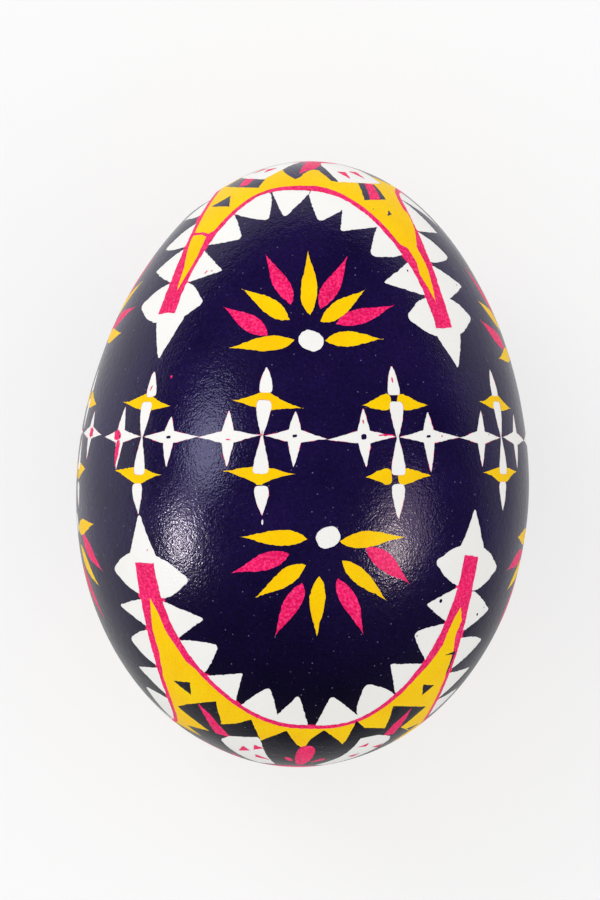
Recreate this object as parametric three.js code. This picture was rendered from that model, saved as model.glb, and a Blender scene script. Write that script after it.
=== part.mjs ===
// A blown hen's egg, the body of a wax-resist dyed Easter egg, lying on its side.
//
// Millimetres. +Z is up and +Y runs along the egg, from its blunt end to its pointed end. The origin is on the
// surface that the egg lies on, under the middle of its length. Every piece is turned about one axis, so each is a
// closed profile for a lathe: out along one face of the wall, and back along the other.
import * as THREE from "three";

const LENGTH = 58; // pole to pole
const GIRTH_TO_LENGTH = 0.7432; // the plain oval's width over its length, before the egg's own taper
const TAPER = [-0.0923, -0.0117, 0.0327]; // how the radius departs from that oval, in powers of the height

const SHELL_WALL = 0.36;
const OUTER_MEMBRANE_WALL = 0.06;
const INNER_MEMBRANE_WALL = 0.04;
const GAP = 0.03; // between one layer and the next

const POINTED_HOLE_R = 0.9; // the small hole, that the breath goes in by
const BLUNT_HOLE_R = 1.25; // the larger hole, that the contents come out by
const MEMBRANE_TEAR = 0.35; // how much wider the pierced membranes are torn than the holes
const AIR_CELL_STATION = 26; // the air cell is under the blunt end, between the two membranes, from here on
const AIR_CELL_BULGE = 1.4; // how far the inner membrane bows across it
const AIR_CELL_STEPS = 5;

const SEGMENTS_ROUND = 40;
const STATIONS = 30; // equal steps of the outline's angle, which every layer shares, so that their flats are parallel

const halfLength = LENGTH / 2;
const halfWidth = halfLength * GIRTH_TO_LENGTH;

// How much wider than the plain oval the egg is at height c, which runs from 1 at the pointed pole to -1 at the
// blunt one, and the slope of that.
const taperAt = (c) => 1 + TAPER[0] * c + TAPER[1] * c ** 2 + TAPER[2] * c ** 3;
const taperSlope = (c) => TAPER[0] + 2 * TAPER[1] * c + 3 * TAPER[2] * c ** 2;

// A point of the egg's half outline as (radius, height), a depth below its outer face. The angle runs from 0 at the
// pointed pole to PI at the blunt one.
function outlinePoint(angle, depth = 0) {
  const c = Math.cos(angle);
  const s = Math.sin(angle);
  const radius = halfWidth * s * taperAt(c);
  const height = halfLength * c;
  const radiusStep = halfWidth * (c * taperAt(c) - s * s * taperSlope(c));
  const heightStep = -halfLength * s;
  const stepLength = Math.hypot(radiusStep, heightStep);
  return new THREE.Vector2(
    radius + (heightStep / stepLength) * depth,
    height - (radiusStep / stepLength) * depth,
  );
}

// The angle from a pole at which the egg's radius is r, for a small r.
const angleAtPointed = (r) => r / (halfWidth * taperAt(1));
const angleAtBlunt = (r) => Math.PI - r / (halfWidth * taperAt(-1));

const stationAngle = (i) => (Math.PI * i) / STATIONS;

// Points along the outline at one depth, from one angle to another, by way of the stations between them.
function outline(from, to, depth) {
  const stations = Array.from({ length: STATIONS + 1 }, (_, i) => stationAngle(i));
  const between = stations.filter((angle) => angle > from && angle < to);
  return [from, ...between, to].map((angle) => outlinePoint(angle, depth));
}

// The widest radius, which the egg lies on. A flat between two segments is underneath, so its middle counts.
function restingRadius() {
  const widest = Math.max(...outline(0, Math.PI, 0).map((p) => p.x));
  return widest * Math.cos(Math.PI / SEGMENTS_ROUND);
}

// A wall between an outer and an inner line, both running from the pointed end to the blunt one.
function turned(name, outerLine, innerLine, material) {
  const profile = [...outerLine, ...innerLine.reverse(), outerLine[0]].reverse();
  const halfSegment = Math.PI / SEGMENTS_ROUND;
  const geometry = new THREE.LatheGeometry(profile, SEGMENTS_ROUND, halfSegment);
  const mesh = new THREE.Mesh(geometry, material);
  mesh.name = name;
  return mesh;
}

function shell() {
  const from = angleAtPointed(POINTED_HOLE_R);
  const to = angleAtBlunt(BLUNT_HOLE_R);
  const dyedCalcite = new THREE.MeshStandardMaterial({
    color: 0x1d1038,
    roughness: 0.42,
    metalness: 0,
  });
  return turned("shell", outline(from, to, 0), outline(from, to, SHELL_WALL), dyedCalcite);
}

const membraneSkin = () =>
  new THREE.MeshStandardMaterial({ color: 0xefe9dc, roughness: 0.8, metalness: 0 });

function outerMembrane() {
  const from = angleAtPointed(POINTED_HOLE_R + MEMBRANE_TEAR);
  const to = angleAtBlunt(BLUNT_HOLE_R + MEMBRANE_TEAR);
  const depth = SHELL_WALL + GAP;
  return turned(
    "outer_membrane",
    outline(from, to, depth),
    outline(from, to, depth + OUTER_MEMBRANE_WALL),
    membraneSkin(),
  );
}

// The inner membrane lines the outer one as far as the air cell's rim, and then crosses to the torn hole.
function innerMembrane() {
  const from = angleAtPointed(POINTED_HOLE_R + MEMBRANE_TEAR);
  const depth = SHELL_WALL + OUTER_MEMBRANE_WALL + 2 * GAP;
  const tornRadius = BLUNT_HOLE_R + MEMBRANE_TEAR;
  const line = (d) => {
    const lining = outline(from, stationAngle(AIR_CELL_STATION), d);
    const edge = lining.at(-1);
    const crossing = Array.from({ length: AIR_CELL_STEPS }, (_, i) => {
      const share = (i + 1) / AIR_CELL_STEPS;
      const radius = edge.x + (tornRadius - edge.x) * share;
      const bow = AIR_CELL_BULGE * (1 - (radius / edge.x) ** 2);
      return new THREE.Vector2(radius, edge.y - bow);
    });
    return [...lining, ...crossing];
  };
  return turned("inner_membrane", line(depth), line(depth + INNER_MEMBRANE_WALL), membraneSkin());
}

const egg = new THREE.Group();
egg.add(shell(), outerMembrane(), innerMembrane());
egg.position.z = restingRadius();

export default egg;
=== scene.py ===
"""A wax-resist dyed hen's egg, blown and lying on its side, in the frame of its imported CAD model.

The pattern is drawn first, as outlines on the egg in degrees round it and millimetres along it from its belt.
The outlines then cut the whole surface into triangles along their edges, and each dye's triangles become a
thin film on the bare shell, so that every mark has a true, sharp edge. Bare white marks are the shell itself.
"""
import math

import bpy
import numpy as np
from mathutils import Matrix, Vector
from mathutils.geometry import delaunay_2d_cdt


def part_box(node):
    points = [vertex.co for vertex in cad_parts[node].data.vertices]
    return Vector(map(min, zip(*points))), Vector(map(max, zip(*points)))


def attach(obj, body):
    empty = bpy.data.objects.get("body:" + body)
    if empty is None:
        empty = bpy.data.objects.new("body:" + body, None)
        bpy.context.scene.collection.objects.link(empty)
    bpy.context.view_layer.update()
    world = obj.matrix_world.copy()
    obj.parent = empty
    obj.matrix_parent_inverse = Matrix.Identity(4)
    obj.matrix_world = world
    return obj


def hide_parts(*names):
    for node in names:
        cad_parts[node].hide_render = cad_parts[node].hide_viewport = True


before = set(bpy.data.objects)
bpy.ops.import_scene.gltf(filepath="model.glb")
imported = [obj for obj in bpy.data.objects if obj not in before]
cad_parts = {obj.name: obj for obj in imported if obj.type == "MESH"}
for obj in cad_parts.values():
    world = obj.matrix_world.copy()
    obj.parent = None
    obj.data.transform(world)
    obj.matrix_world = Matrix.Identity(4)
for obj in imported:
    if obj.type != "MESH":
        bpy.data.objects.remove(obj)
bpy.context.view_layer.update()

MM = 0.001
BODY = "root"
random = np.random.default_rng(4)

# ---- the egg's form, in millimetres --------------------------------------------------------------

# The blow holes cut the poles off, so the solid has only this share of the whole egg's length.
LENGTH_LEFT_BY_HOLES = 0.99873
low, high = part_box("shell")
HALF_LENGTH = (high.y - low.y) / MM / 2 / LENGTH_LEFT_BY_HOLES
GIRTH_TO_LENGTH = 0.7432  # the plain oval's width over its length, before the egg's own taper
TAPER = (-0.0923, -0.0117, 0.0327)  # how the radius departs from that oval, in powers of the height
SHELL_WALL = 0.36
MEMBRANE_WALL = 0.05  # between the solids' two, of 0.06 and 0.04
GAP = 0.03  # between one layer and the next
POINTED_HOLE = 0.9  # this one and the next are radii
BLUNT_HOLE = 1.25
TEAR = 0.35  # how much wider the membranes are torn than the holes
RAGGED = 0.3  # how far the torn edges wander
AIR_CELL_RADIUS = 8.7
AIR_CELL_BULGE = 1.4  # how far the inner membrane bows across the air cell
BARE_RIM = 0.18  # how far the dyes stay back from the drilled holes
BELT_ALONG = 2.45  # the belt's place along the egg's axis, from the middle of its length
FILM = 0.015  # how far a dye film stands above and reaches below the bare shell's surface

# Stations from one pole to the other, closer together towards each pole.
station = np.linspace(-6.0, 6.0, 6001)
ANGLES = 2 * np.arctan(np.exp(station))


def profile(angle):
    """The outline's radius and place along the axis, and their slopes, at an angle from the pointed pole."""
    c = np.cos(angle)
    s = np.sin(angle)
    taper = 1 + TAPER[0] * c + TAPER[1] * c**2 + TAPER[2] * c**3
    taper_slope = TAPER[0] + 2 * TAPER[1] * c + 3 * TAPER[2] * c**2
    half_width = HALF_LENGTH * GIRTH_TO_LENGTH
    radius = half_width * s * taper
    radius_slope = half_width * (c * taper - s * s * taper_slope)
    return radius, HALF_LENGTH * c, radius_slope, -HALF_LENGTH * s


def running_sum(values):
    """The integral of values over the stations, from the first station on."""
    steps = (values[1:] + values[:-1]) / 2 * np.diff(station)
    return np.concatenate([[0.0], np.cumsum(steps)])


radii, alongs, radius_slopes, along_slopes = profile(ANGLES)
arc_rate = np.hypot(radius_slopes, along_slopes) * np.sin(ANGLES)
arcs = running_sum(arc_rate)
# Heights run along the surface from the belt, and are positive towards the pointed end.
HEIGHTS = np.interp(-BELT_ALONG, -alongs, arcs) - arcs
STRETCH = running_sum(arc_rate / radii)  # the height at which a map of the egg is true to shape
BELLY = radii.max()


def ring_radius(height):
    return np.interp(-np.asarray(height, float), -HEIGHTS, radii)


def angle_at(height):
    return np.interp(-np.asarray(height, float), -HEIGHTS, ANGLES)


def chart(longitude, height):
    """The egg's surface as a flat ring, true to shape, with the pointed end at its middle."""
    stretch = np.interp(-np.asarray(height, float), -HEIGHTS, STRETCH)
    return np.exp(stretch - STRETCH[-1] / 2 + 1j * np.radians(longitude))


def from_chart(points):
    """Longitude in radians and outline angle of points of the chart."""
    stretch = np.log(np.abs(points)) + STRETCH[-1] / 2
    return np.angle(points), np.interp(stretch, STRETCH, ANGLES)


# The shell's slight unevenness: a sum of waves through space, whose slope tilts the surface's normals.
LUMPS = 28
LUMP_STEEPNESS = 0.00045  # a lump's height for each unit of its length
lump_ways = random.normal(size=(LUMPS, 3))
lump_ways /= np.linalg.norm(lump_ways, axis=1)[:, None]
lump_lengths = random.uniform(4.0, 15.0, LUMPS)
lump_waves = lump_ways * (2 * np.pi / lump_lengths)[:, None]
lump_starts = random.uniform(0, 2 * np.pi, LUMPS)
lump_heights = LUMP_STEEPNESS * lump_lengths


def surface(longitude, angle, depth=0.0):
    """Points and outward normals of the egg, a depth below its outer face. Longitude is in radians."""
    radius, along, radius_slope, along_slope = profile(angle)
    length = np.hypot(radius_slope, along_slope)
    out = -along_slope / length
    forward = radius_slope / length
    sine = np.sin(longitude)
    cosine = np.cos(longitude)
    point = np.stack([radius * sine, along + 0 * sine, radius * cosine], -1)
    normal = np.stack([out * sine, forward + 0 * sine, out * cosine], -1)
    phase = point @ lump_waves.T + lump_starts
    rise = np.sin(phase) @ lump_heights
    slope = (np.cos(phase) * lump_heights) @ lump_waves
    slope -= np.sum(slope * normal, -1)[..., None] * normal
    point = point + normal * (rise - depth)[..., None]
    normal = normal - slope
    normal /= np.linalg.norm(normal, axis=-1)[..., None]
    return point + np.array([0.0, 0.0, BELLY]), normal


# ---- drawing on the egg --------------------------------------------------------------------------
# A place is (longitude in degrees, height in millimetres). A flat plane round a place holds a mark's own
# shape, as complex numbers in millimetres, with east real and the pointed end's way imaginary.

EDGE_STEP = 0.15
HAND = 0.045  # how far an edge of a mark strays from its line
GROUND = "dark_ground"
FRINGES = "pink_fringes"


def on_plane(place, origin):
    return math.radians(place[0] - origin[0]) * ring_radius(place[1]) + 1j * (place[1] - origin[1])


def on_egg(points, origin):
    height = origin[1] + np.imag(points)
    longitude = origin[0] + np.degrees(np.real(points) / ring_radius(height))
    return np.stack([longitude, height], -1)


def steps_of(outline):
    """Each step of a closed outline in millimetres, as complex numbers, from every point to the next."""
    following = np.roll(outline, -1, axis=0)
    turn = (following[:, 0] - outline[:, 0] + 180) % 360 - 180
    middle = (following[:, 1] + outline[:, 1]) / 2
    return np.radians(turn) * ring_radius(middle) + 1j * (following[:, 1] - outline[:, 1])


def even(outline, spacing=EDGE_STEP):
    """The same closed outline with evenly spaced points."""
    outline = np.asarray(outline, float)
    outline = outline[np.abs(steps_of(outline)) > 1e-6]
    steps = steps_of(outline)
    reach = np.concatenate([[0.0], np.cumsum(np.abs(steps))])
    count = max(8, int(reach[-1] / spacing))
    at = np.arange(count) * reach[-1] / count
    turns = (np.roll(outline[:, 0], -1) - outline[:, 0] + 180) % 360 - 180
    longitudes = outline[0, 0] + np.concatenate([[0.0], np.cumsum(turns)])
    heights = np.append(outline[:, 1], outline[0, 1])
    return np.stack([np.interp(at, reach, longitudes), np.interp(at, reach, heights)], -1)


def shifted(outline, distance):
    """An outline with each point moved to the left of its direction of travel by a distance."""
    steps = steps_of(outline)
    ways = steps / np.maximum(np.abs(steps), 1e-9)
    ways = ways + np.roll(ways, 1)
    side = 1j * ways / np.maximum(np.abs(ways), 1e-9)
    moved = outline.copy()
    moved[:, 0] += np.degrees(np.real(side) * distance / ring_radius(outline[:, 1]))
    moved[:, 1] += np.imag(side) * distance
    return moved


def outward(outline, distance):
    """An outline of a single mark moved outwards, away from what it encloses."""
    steps = steps_of(outline)
    places = np.cumsum(steps)
    clockwise = np.sum(np.imag(np.conj(places) * np.roll(places, -1))) < 0
    return shifted(outline, distance if clockwise else -distance)


def tremor(count, finest=0.42):
    """A smooth random wander round a closed outline of count points, of about unit size."""
    waves = max(3, int(count * EDGE_STEP / finest))
    number = np.arange(1, waves + 1)
    size = random.normal(size=waves) / np.sqrt(number + 2)
    start = random.uniform(0, 2 * np.pi, waves)
    round_it = np.arange(count)[:, None] * 2 * np.pi / count
    wander = (np.sin(round_it * number + start) * size).sum(1)
    return wander / max(1e-6, 2 * wander.std())


def bezier(start, control, end, count=10):
    share = np.linspace(0, 1, count)
    return (1 - share) ** 2 * start + 2 * share * (1 - share) * control + share**2 * end


def drop(thick, thin, width, blunt=0.5, taper=1.15, bend=0.0, skew=0.0):
    """A drop from its thick end to its thin one. A low blunt makes the thick end fuller, and a high taper
    draws the thin end out. bend bows it to its left, and skew puts its left side's belly further along."""
    origin = ((thick[0] + thin[0]) / 2, (thick[1] + thin[1]) / 2)
    start = on_plane(thick, origin)
    along = on_plane(thin, origin) - start
    across = 1j * along / abs(along)
    share = (1 - np.cos(np.pi * np.linspace(0, 1, 34))) / 2
    widest = blunt / (blunt + taper)
    fullest = widest**blunt * (1 - widest) ** taper

    def side(power):
        place = share**power
        return place**blunt * (1 - place) ** taper / fullest * width / 2

    middle = start + along * share + across * bend * 4 * share * (1 - share)
    left = middle + across * side(1 + skew)
    right = middle - across * side(1 - skew)
    return on_egg(np.concatenate([left, right[::-1]]), origin)


def tooth(first, second, tip, roundness, bulge, tuck=0.9):
    """A tooth from two places on an arch to its tip. Its foot is tucked under the arch's line."""
    a = on_plane(first, tip)
    b = on_plane(second, tip)
    near_a = a * roundness
    near_b = b * roundness
    turn = 1 if (np.conj(a) * b).imag > 0 else -1
    side_a = (a + near_a) / 2 - turn * 1j * (a - near_a) * bulge
    side_b = (b + near_b) / 2 + turn * 1j * (b - near_b) * bulge
    away = (a + b) / abs(a + b) * tuck
    outline = [
        np.array([a + away]),
        bezier(a, side_a, near_a),
        bezier(near_a, 0, near_b),
        bezier(near_b, side_b, b),
        np.array([b + away]),
    ]
    return on_egg(np.concatenate(outline), tip)


def oval(centre, width, height, squareness=2.3, lean=0.0):
    """An oval, leaning by degrees. Above 2, its squareness fills its corners."""
    turn = np.linspace(0, 2 * np.pi, 40, endpoint=False)
    bulge = 2 / squareness
    x = np.sign(np.cos(turn)) * np.abs(np.cos(turn)) ** bulge * width / 2
    y = np.sign(np.sin(turn)) * np.abs(np.sin(turn)) ** bulge * height / 2
    return on_egg((x + 1j * y) * np.exp(1j * math.radians(lean)), centre)


def circle_round_pole(height):
    turn = np.linspace(-180, 180, 240, endpoint=False)
    return np.stack([turn, np.full(240, float(height))], -1)


marks = []  # (piece, outline on the chart, whether it covers the blunt pole), from the undermost up


def paint(piece, outline, stray=HAND, covers_blunt_pole=False, fringe=0.0):
    """Draws an outline over what is there. A piece of None bares the shell. A fringe is how far the pink dye
    has crept out past the mark's edge, here and there."""
    outline = even(outline)
    outline = shifted(outline, stray * tremor(len(outline)))
    if fringe:
        creep = fringe * np.clip(tremor(len(outline), 0.7) - 0.05, 0, 1)
        seeped = outward(outline, creep)
        marks.append((FRINGES, chart(seeped[:, 0], seeped[:, 1]), False))
    marks.append((piece, chart(outline[:, 0], outline[:, 1]), covers_blunt_pole))


def jitter(amount):
    return random.uniform(-amount, amount)


def eastward(places, east, loose):
    """Places carried round the egg, each a little out of place."""
    return [(longitude + east + jitter(4 * loose), height + jitter(loose)) for longitude, height in places]


# ---- the pattern ---------------------------------------------------------------------------------
# Each end of the egg has four feet, which hold up four arches. A foot is a pink bar with a white spike below
# it and a yellow one in it. The lists run from west to east, and a foot's parts are outlines.


def foot_like(foot, east):
    return {part: eastward(places, east, 0.14) for part, places in foot.items()}


POINTED_WEST_FOOT = dict(
    bar=[(-51.3, 11.5), (-44.1, 11.7)],
    spike=[(-50.9, 10.9), (-39.8, 11.2), (-44.8, 6.8)],
    yellow=[
        (-54.6, 20.5), (-53.4, 19.3), (-48.8, 16.6), (-46.7, 14.0), (-45.2, 16.9), (-45.4, 18.3),
        (-46.5, 20.5),
    ],
    mark=[(-60.0, 24.2), (-45.3, 24.2), (-52.5, 25.9)],
    band=[(-76.0, 27.5), (-36.5, 27.2), (-38.9, 28.8), (-78.0, 29.5)],
    heart=[(-55.3, 27.4), (-48.8, 27.7), (-51.0, 29.4), (-64.4, 29.3)],
    fan=[(-82.0, 29.3), (-40.0, 28.8), (-35.5, 31.2), (-36.5, 34.8), (-86.0, 34.8)],
    first_fleck=[(-58.5, 31.4), (-48.0, 31.8), (-52.0, 30.4)],
    second_fleck=[(-73.0, 31.3), (-63.5, 31.6), (-69.0, 30.2)],
)

POINTED_EAST_FOOT = dict(
    bar=[(40.1, 11.2), (46.9, 11.4)],
    spike=[(39.6, 10.5), (49.8, 10.7), (45.5, 7.2)],
    yellow=[
        (38.8, 19.8), (40.4, 18.3), (39.9, 16.8), (41.7, 15.3), (43.0, 13.9), (43.9, 16.0), (44.9, 17.7),
        (43.8, 20.0), (48.8, 22.2), (52.4, 24.4),
    ],
    mark=[(36.5, 23.8), (39.9, 24.0), (39.4, 24.6)],
    band=[(27.8, 25.9), (43.6, 26.2), (46.8, 28.8), (31.9, 28.9)],
    heart=[(31.8, 26.0), (39.0, 26.1), (44.9, 28.9), (37.4, 29.0)],
    fan=[(16.7, 28.8), (58.1, 29.1), (66.0, 32.5), (72.0, 34.8), (1.0, 34.8), (7.6, 33.2)],
    first_fleck=[(21.5, 31.2), (30.5, 31.3), (28.5, 29.6)],
    second_fleck=[(37.0, 31.5), (46.5, 31.5), (44.5, 29.9)],
)

BLUNT_WEST_FOOT = dict(
    bar=[(-47.4, -12.3), (-40.5, -12.3)],
    spike=[(-49.4, -11.7), (-38.8, -12.0), (-44.7, -7.6)],
    yellow=[
        (-49.0, -23.2), (-46.6, -21.3), (-46.1, -19.0), (-45.0, -17.5), (-43.8, -15.7), (-41.7, -17.5),
        (-40.7, -19.2), (-37.9, -21.0), (-36.6, -22.2),
    ],
    mark=[(-46.4, -24.6), (-38.5, -24.7), (-41.2, -26.3)],
    band=[(-54.3, -28.0), (-38.7, -27.2), (-30.6, -26.9), (-34.0, -29.8), (-35.1, -30.3), (-47.5, -31.6)],
    heart=[(-40.3, -27.3), (-37.4, -29.0), (-35.8, -32.6), (-44.0, -31.9), (-41.8, -29.6)],
    fan=[
        (-46.5, -33.3), (-43.5, -32.8), (-36.0, -32.3), (-18.5, -32.1), (-17.4, -32.5), (-23.0, -39.4),
        (-59.0, -39.4),
    ],
    first_fleck=[(-42.2, -35.3), (-30.7, -35.1), (-32.7, -34.1)],
    second_fleck=[(-27.2, -34.8), (-18.8, -34.4), (-23.4, -33.7)],
    third_fleck=[(-34.5, -36.8), (-22.5, -37.5), (-30.0, -36.0)],
)

BLUNT_EAST_FOOT = dict(
    bar=[(46.4, -10.3), (52.1, -10.4)],
    spike=[(44.3, -9.6), (54.1, -9.8), (48.4, -5.8)],
    yellow=[
        (43.8, -22.6), (45.9, -21.1), (47.6, -19.4), (47.8, -17.7), (48.4, -16.5), (49.6, -15.3),
        (52.0, -16.7), (51.6, -18.0), (52.9, -19.1), (55.0, -20.7), (57.4, -22.6),
    ],
    mark=[(48.2, -23.8), (54.6, -23.9), (52.0, -25.2)],
    band=[(40.5, -26.6), (61.0, -26.7), (58.0, -29.8), (46.6, -29.9), (47.4, -29.2)],
    heart=[(51.8, -26.9), (54.8, -28.6), (58.5, -30.9), (51.5, -31.2), (49.9, -29.4)],
    fan=[
        (37.8, -31.7), (47.0, -31.0), (58.0, -31.2), (63.0, -31.9), (72.0, -39.4), (40.0, -39.4),
        (42.5, -36.0),
    ],
    first_fleck=[(43.8, -33.4), (49.6, -33.2), (48.0, -32.5)],
    second_fleck=[(57.2, -33.4), (64.8, -33.5), (62.0, -32.7)],
    third_fleck=[(50.5, -35.7), (57.5, -35.9), (56.0, -34.8)],
)

# A tooth is its two ends on the arch, its tip, and how round its tip is and how far its sides bulge.
POINTED_TEETH = [
    ((-43.8, 10.8), (-43.2, 14.9), (-33.3, 12.8), 0.3, 0.14),
    ((-42.6, 15.0), (-42.5, 18.5), (-31.0, 16.3), 0.06, 0.0),
    ((-44.0, 19.15), (-38.0, 23.0), (-28.0, 20.0), 0.2, 0.05),
    ((-39.0, 23.2), (-24.7, 26.1), (-19.5, 22.3), 0.2, 0.06),
    ((-24.5, 26.3), (-3.4, 26.4), (-13.1, 22.7), 0.22, 0.0),
    ((-3.5, 26.3), (21.0, 25.3), (2.0, 22.3), 0.22, 0.02),
    ((15.0, 25.8), (31.0, 22.3), (11.0, 21.4), 0.08, 0.0),
    ((30.6, 22.7), (36.3, 19.1), (19.4, 18.3), 0.4, 0.13),
    ((36.6, 18.2), (38.3, 14.6), (24.0, 15.7), 0.08, 0.0),
    ((38.6, 14.3), (40.2, 10.4), (28.8, 12.1), 0.34, 0.15),
]
POINTED_TEETH_BEYOND_EAST_FOOT = [
    ((46.6, 10.6), (49.8, 14.5), (60.0, 12.5), 0.32, 0.16),
    ((49.8, 14.4), (48.8, 17.9), (61.0, 15.9), 0.08, 0.02),
    ((48.9, 18.3), (50.6, 21.9), (62.8, 19.0), 0.26, 0.08),
    ((51.0, 22.0), (60.0, 26.2), (67.2, 22.0), 0.06, 0.0),
    ((60.4, 26.3), (76.0, 27.4), (79.0, 22.6), 0.15, 0.0),
]
POINTED_TEETH_BEYOND_WEST_FOOT = [
    ((-72.0, 24.9), (-65.0, 22.7), (-80.0, 22.3), 0.1, 0.0),
    ((-60.0, 21.9), (-55.6, 18.9), (-71.5, 18.5), 0.26, 0.1),
    ((-54.6, 18.8), (-52.3, 14.9), (-65.4, 16.1), 0.06, 0.03),
    ((-52.4, 14.7), (-51.0, 10.6), (-63.9, 12.3), 0.26, 0.14),
]
BLUNT_TEETH = [
    ((-40.8, -11.5), (-38.6, -15.7), (-28.7, -13.7), 0.26, 0.13),
    ((-38.8, -16.0), (-36.8, -19.7), (-26.4, -17.5), 0.1, 0.0),
    ((-36.2, -19.9), (-31.1, -23.5), (-22.8, -20.1), 0.2, 0.07),
    ((-30.2, -23.7), (-22.3, -26.8), (-17.0, -23.2), 0.05, 0.0),
    ((-21.4, -27.4), (-6.4, -29.2), (-8.0, -24.4), 0.24, 0.05),
    ((-7.6, -28.7), (6.8, -29.5), (1.8, -25.4), 0.16, 0.0),
    ((10.4, -29.6), (27.5, -28.1), (13.2, -25.3), 0.2, 0.02),
    ((26.6, -28.0), (37.8, -25.1), (23.0, -23.4), 0.42, 0.14),
    ((37.4, -24.8), (43.5, -21.3), (30.3, -21.5), 0.07, 0.0),
    ((43.8, -21.1), (45.6, -17.1), (34.3, -18.0), 0.24, 0.07),
    ((45.6, -16.9), (45.7, -13.5), (36.3, -15.2), 0.12, 0.02),
    ((46.0, -13.3), (46.2, -9.3), (35.5, -11.0), 0.3, 0.13),
]
BLUNT_TEETH_BEYOND_EAST_FOOT = [
    ((52.0, -9.5), (54.2, -13.7), (63.4, -11.4), 0.3, 0.14),
    ((54.0, -13.8), (55.5, -17.7), (64.8, -15.6), 0.1, 0.02),
    ((55.2, -18.5), (58.3, -22.1), (70.2, -18.6), 0.22, 0.06),
    ((58.8, -22.5), (65.3, -25.8), (74.2, -21.8), 0.08, 0.0),
    ((65.5, -25.9), (76.0, -28.3), (81.0, -24.2), 0.2, 0.04),
]
BLUNT_TEETH_BEYOND_WEST_FOOT = [
    ((-84.5, -30.0), (-77.0, -30.3), (-81.5, -26.2), 0.2, 0.0),
    ((-76.0, -30.2), (-57.0, -27.0), (-70.5, -25.6), 0.2, 0.04),
    ((-56.4, -26.4), (-51.6, -23.2), (-63.8, -23.3), 0.08, 0.0),
    ((-51.4, -22.9), (-47.8, -19.1), (-60.8, -20.1), 0.3, 0.1),
    ((-47.4, -18.8), (-47.4, -15.9), (-58.7, -16.7), 0.08, 0.02),
    ((-47.4, -15.4), (-47.6, -11.4), (-58.6, -13.1), 0.3, 0.14),
]

POINTED_PETALS = [
    ((-4.0, 9.35), (-22.6, 8.3)),
    ((-11.8, 9.7), (-27.4, 12.5)),
    ((-5.8, 11.4), (-22.4, 14.4)),
    ((-5.9, 12.9), (-17.4, 18.4)),
    ((0.1, 11.9), (-1.7, 18.9)),
    ((3.1, 12.6), (12.7, 18.5)),
    ((3.2, 11.3), (17.7, 14.9)),
    ((7.6, 11.1), (26.9, 13.4)),
    ((4.6, 9.4), (21.7, 9.8)),
]
BLUNT_PETALS = [
    ((1.6, -9.35), (-15.4, -9.4)),
    ((-2.6, -10.8), (-17.8, -12.9)),
    ((1.7, -11.8), (-11.4, -15.2)),
    ((0.8, -13.5), (-6.2, -19.0)),
    ((5.2, -12.8), (5.9, -18.9)),
    ((10.1, -12.9), (19.3, -18.5)),
    ((10.8, -11.2), (24.3, -15.0)),
    ((16.5, -9.9), (30.3, -13.3)),
    ((9.8, -9.4), (27.0, -8.8)),
]

PINK_LINE = 0.52  # the width of the pink line along the arches
PINK_THICKENING = 0.42  # how much wider it is at its thickest, on the pointed half


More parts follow.
